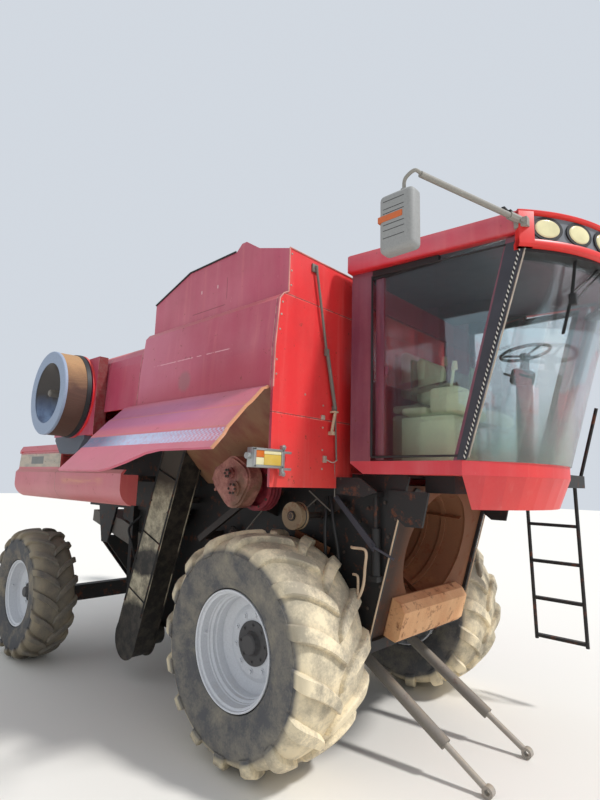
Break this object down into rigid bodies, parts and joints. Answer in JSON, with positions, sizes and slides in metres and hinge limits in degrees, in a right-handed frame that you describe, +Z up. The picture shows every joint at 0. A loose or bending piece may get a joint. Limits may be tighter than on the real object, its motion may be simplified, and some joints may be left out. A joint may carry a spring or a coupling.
{
  "type": "combine harvester",
  "caption": "Self-propelled combine harvester without its header, with cab, grain tank, rear hood, unloading auger, open side shield, drive wheels in front and steered wheels behind.",
  "frame": {"origin": "on the ground, in the middle of the machine's footprint", "axes": "+X to the machine's front, +Y to its left, +Z up"},
  "size_m": [7.6949, 4.6828, 4.2],
  "materials": {
    "frame_black": "satin, dusty",
    "red_paint": "faded gloss",
    "cab_trim": "satin",
    "rusty_steel": "rusty, matt",
    "dusty_steel": "matt, dusty",
    "tyre": "dusty rubber",
    "rim_paint": "satin, dusty",
    "cab_glass": "dusty glass",
    "seat_cloth": "worn cloth",
    "cab_plastic": "matt",
    "mirror_plastic": "weathered",
    "lamp_lens": "glossy lens",
    "screen_mesh": "dusty mesh",
    "chrome_rod": "polished",
    "cylinder_grey": "dusty paint"
  },
  "bodies": {
    "chassis": {"main_frame": "frame_black", "drive_axle": "frame_black", "intake_cone": "rusty_steel", "front_brackets": "frame_black", "rotor_housing": "frame_black", "cleaning_gear": "dusty_steel", "grain_tank": "red_paint", "tank_extension": "red_paint", "engine": "rusty_steel", "engine_deck": "frame_black", "engine_hood": "red_paint", "screen_housing": "red_paint", "rear_hood": "red_paint", "rear_side_panels": "red_paint", "steer_axle": "frame_black", "elevators": "dusty_steel", "side_drives": "rusty_steel", "cab_floor": "red_paint", "cab_frame": "cab_trim", "cab_roof": "red_paint", "cab_glass": "cab_glass", "seat": "seat_cloth", "steering_column": "cab_plastic", "platform": "frame_black", "mirrors": "mirror_plastic", "lamps": "lamp_lens", "exhaust_stack": "rusty_steel", "auger_turret": "red_paint"},
    "auger": {"auger": "red_paint"},
    "air_screen": {"air_screen": "screen_mesh"},
    "side_shield_right": {"side_shield_right": "red_paint"},
    "side_shield_left": {"side_shield_left": "red_paint"},
    "cab_door": {"cab_door": "cab_plastic", "door_glass": "cab_glass"},
    "lift_barrel_right": {"lift_barrel_right": "cylinder_grey"},
    "lift_rod_right": {"lift_rod_right": "chrome_rod"},
    "lift_barrel_left": {"lift_barrel_left": "cylinder_grey"},
    "lift_rod_left": {"lift_rod_left": "chrome_rod"},
    "knuckle_right": {"knuckle_right": "frame_black"},
    "knuckle_left": {"knuckle_left": "frame_black"},
    "tie_rod": {"tie_rod": "frame_black"},
    "drive_wheel_right": {"drive_tyre_right": "tyre", "drive_rim_right": "rim_paint"},
    "drive_wheel_left": {"drive_tyre_left": "tyre", "drive_rim_left": "rim_paint"},
    "steer_wheel_right": {"steer_tyre_right": "tyre", "steer_rim_right": "rim_paint"},
    "steer_wheel_left": {"steer_tyre_left": "tyre", "steer_rim_left": "rim_paint"}
  },
  "joints": [
    {"name": "drive_wheel_right_spin", "type": "hinge", "parent": "chassis", "child": "drive_wheel_right", "pos_m": [1.3475, -1.215, 0.88], "axis": [0, 1, 0], "continuous": true},
    {"name": "steer_right", "type": "hinge", "parent": "chassis", "child": "knuckle_right", "pos_m": [-2.3125, -1.3, 0.75], "axis": [0, 0, 1], "range_deg": [-30, 30]},
    {"name": "steer_wheel_right_spin", "type": "hinge", "parent": "knuckle_right", "child": "steer_wheel_right", "pos_m": [-2.3125, -1.635, 0.75], "axis": [0, 1, 0], "continuous": true},
    {"name": "lift_barrel_right_swing", "type": "hinge", "parent": "chassis", "child": "lift_barrel_right", "pos_m": [1.5675, -0.38, 0.82], "axis": [0, -1, 0], "range_deg": [0, 30]},
    {"name": "lift_rod_right_slide", "type": "slide", "parent": "lift_barrel_right", "child": "lift_rod_right", "axis": [0.8551, 0, -0.5184], "range_m": [-0.33, 0]},
    {"name": "drive_wheel_left_spin", "type": "hinge", "parent": "chassis", "child": "drive_wheel_left", "pos_m": [1.3475, 1.215, 0.88], "axis": [0, 1, 0], "continuous": true},
    {"name": "steer_left", "type": "hinge", "parent": "chassis", "child": "knuckle_left", "pos_m": [-2.3125, 1.3, 0.75], "axis": [0, 0, 1], "range_deg": [-30, 30]},
    {"name": "steer_wheel_left_spin", "type": "hinge", "parent": "knuckle_left", "child": "steer_wheel_left", "pos_m": [-2.3125, 1.635, 0.75], "axis": [0, 1, 0], "continuous": true},
    {"name": "lift_barrel_left_swing", "type": "hinge", "parent": "chassis", "child": "lift_barrel_left", "pos_m": [1.5675, 0.38, 0.82], "axis": [0, -1, 0], "range_deg": [0, 30]},
    {"name": "lift_rod_left_slide", "type": "slide", "parent": "lift_barrel_left", "child": "lift_rod_left", "axis": [0.8551, 0, -0.5184], "range_m": [-0.33, 0]},
    {"name": "tie_rod_swing", "type": "hinge", "parent": "knuckle_left", "child": "tie_rod", "pos_m": [-2.5425, 1.3, 0.519], "axis": [0, 0, 1], "range_deg": [-30, 30]},
    {"name": "side_shield_right_swing", "type": "hinge", "parent": "chassis", "child": "side_shield_right", "pos_m": [1.3475, -1.7123, 2.85], "axis": [-1, 0, 0], "range_deg": [-43, 32]},
    {"name": "side_shield_left_swing", "type": "hinge", "parent": "chassis", "child": "side_shield_left", "pos_m": [1.3475, 1.7123, 2.85], "axis": [1, 0, 0], "range_deg": [0, 75]},
    {"name": "cab_door_swing", "type": "hinge", "parent": "chassis", "child": "cab_door", "pos_m": [2.1975, 0.937, 3], "axis": [0, 0, 1], "range_deg": [0, 80]},
    {"name": "auger_swing", "type": "hinge", "parent": "chassis", "child": "auger", "pos_m": [1.4475, 2.14, 3.3], "axis": [0, 0, -1], "range_deg": [0, 95]},
    {"name": "air_screen_spin", "type": "hinge", "parent": "chassis", "child": "air_screen", "pos_m": [-1.2525, -1.95, 3.05], "axis": [0, 1, 0], "continuous": true}
  ],
  "couplings": [
    {"joint": "steer_left", "follows": "steer_right", "ratio": 1},
    {"joint": "tie_rod_swing", "follows": "steer_right", "ratio": -1}
  ]
}
